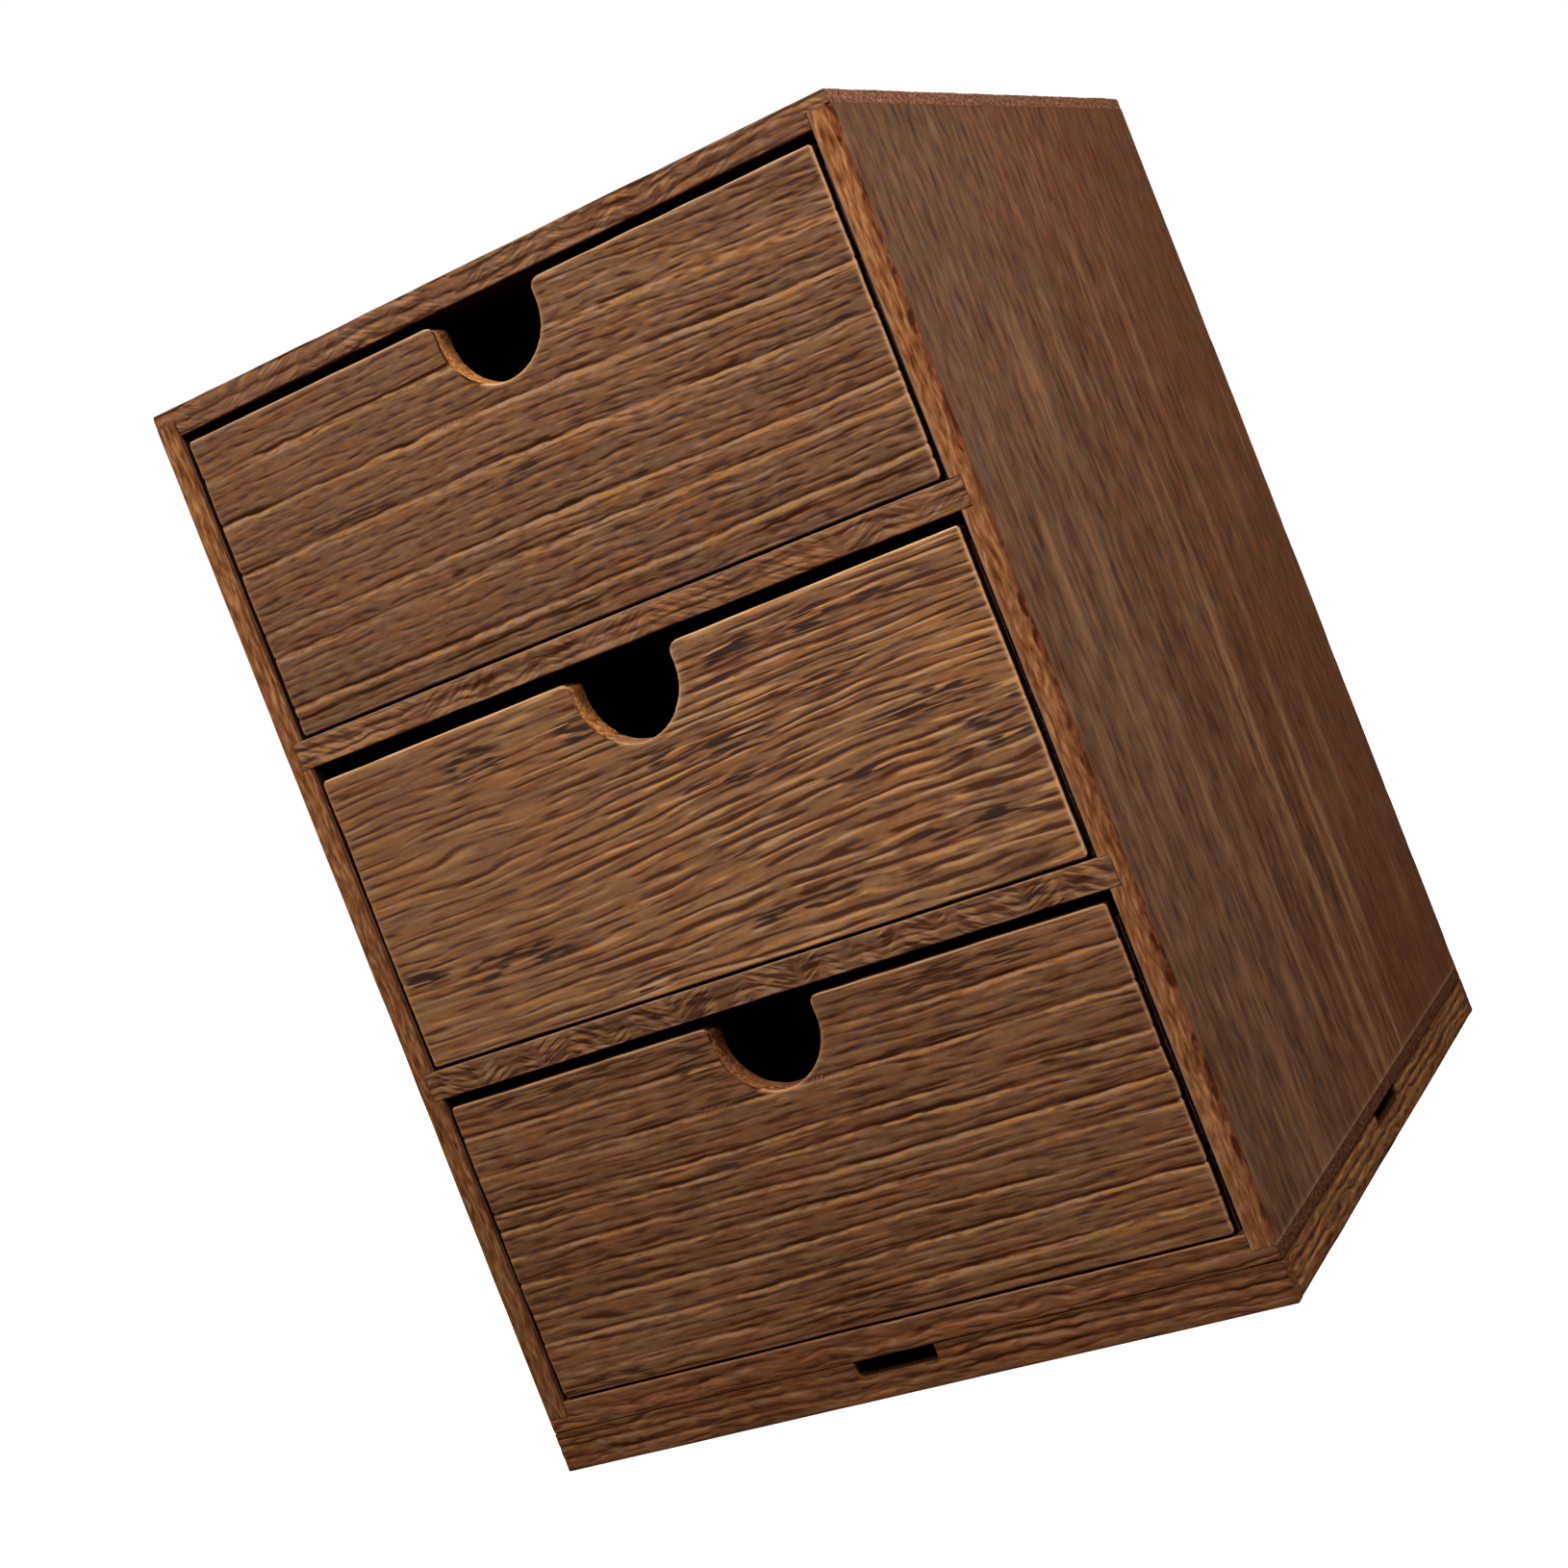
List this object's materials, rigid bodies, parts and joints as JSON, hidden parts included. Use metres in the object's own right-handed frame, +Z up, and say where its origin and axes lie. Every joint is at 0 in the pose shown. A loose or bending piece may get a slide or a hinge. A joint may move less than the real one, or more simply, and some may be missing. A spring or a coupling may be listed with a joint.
{
  "type": "tabletop drawer cabinet",
  "caption": "Upright wooden tabletop chest of sliding drawers with U-shaped finger notches in their fronts, housed dividers and a low slotted plinth.",
  "frame": {"origin": "middle of the footprint, on the surface that the plinth stands on", "axes": "+X to the viewer's right seen from the front, +Y to the back, +Z up; the drawers open towards -Y"},
  "size_m": [0.175, 0.19, 0.25],
  "materials": {
    "carcass_boards": "dark stain, satin",
    "carcass_sides": "dark stain, satin",
    "dividers": "dark stain, satin",
    "plinth": "dark stain, satin",
    "back_panel": "dark stain, satin",
    "drawer_fronts": "dark stain, satin",
    "drawer_boards": "dark stain, satin"
  },
  "bodies": {
    "carcass": {"top_board": "carcass_boards", "bottom_board": "carcass_boards", "left_side": "carcass_sides", "right_side": "carcass_sides", "lower_divider": "dividers", "upper_divider": "dividers", "back_panel": "back_panel", "plinth_front": "plinth", "plinth_back": "plinth", "plinth_left": "plinth", "plinth_right": "plinth"},
    "lower_drawer": {"lower_drawer_front": "drawer_fronts", "lower_drawer_left": "drawer_boards", "lower_drawer_right": "drawer_boards", "lower_drawer_back": "drawer_boards", "lower_drawer_floor": "drawer_boards"},
    "middle_drawer": {"middle_drawer_front": "drawer_fronts", "middle_drawer_left": "drawer_boards", "middle_drawer_right": "drawer_boards", "middle_drawer_back": "drawer_boards", "middle_drawer_floor": "drawer_boards"},
    "upper_drawer": {"upper_drawer_front": "drawer_fronts", "upper_drawer_left": "drawer_boards", "upper_drawer_right": "drawer_boards", "upper_drawer_back": "drawer_boards", "upper_drawer_floor": "drawer_boards"}
  },
  "joints": [
    {"name": "lower_drawer_slide", "type": "slide", "parent": "carcass", "child": "lower_drawer", "axis": [0, -1, 0], "range_m": [0, 0.14]},
    {"name": "middle_drawer_slide", "type": "slide", "parent": "carcass", "child": "middle_drawer", "axis": [0, -1, 0], "range_m": [0, 0.14]},
    {"name": "upper_drawer_slide", "type": "slide", "parent": "carcass", "child": "upper_drawer", "axis": [0, -1, 0], "range_m": [0, 0.14]}
  ]
}
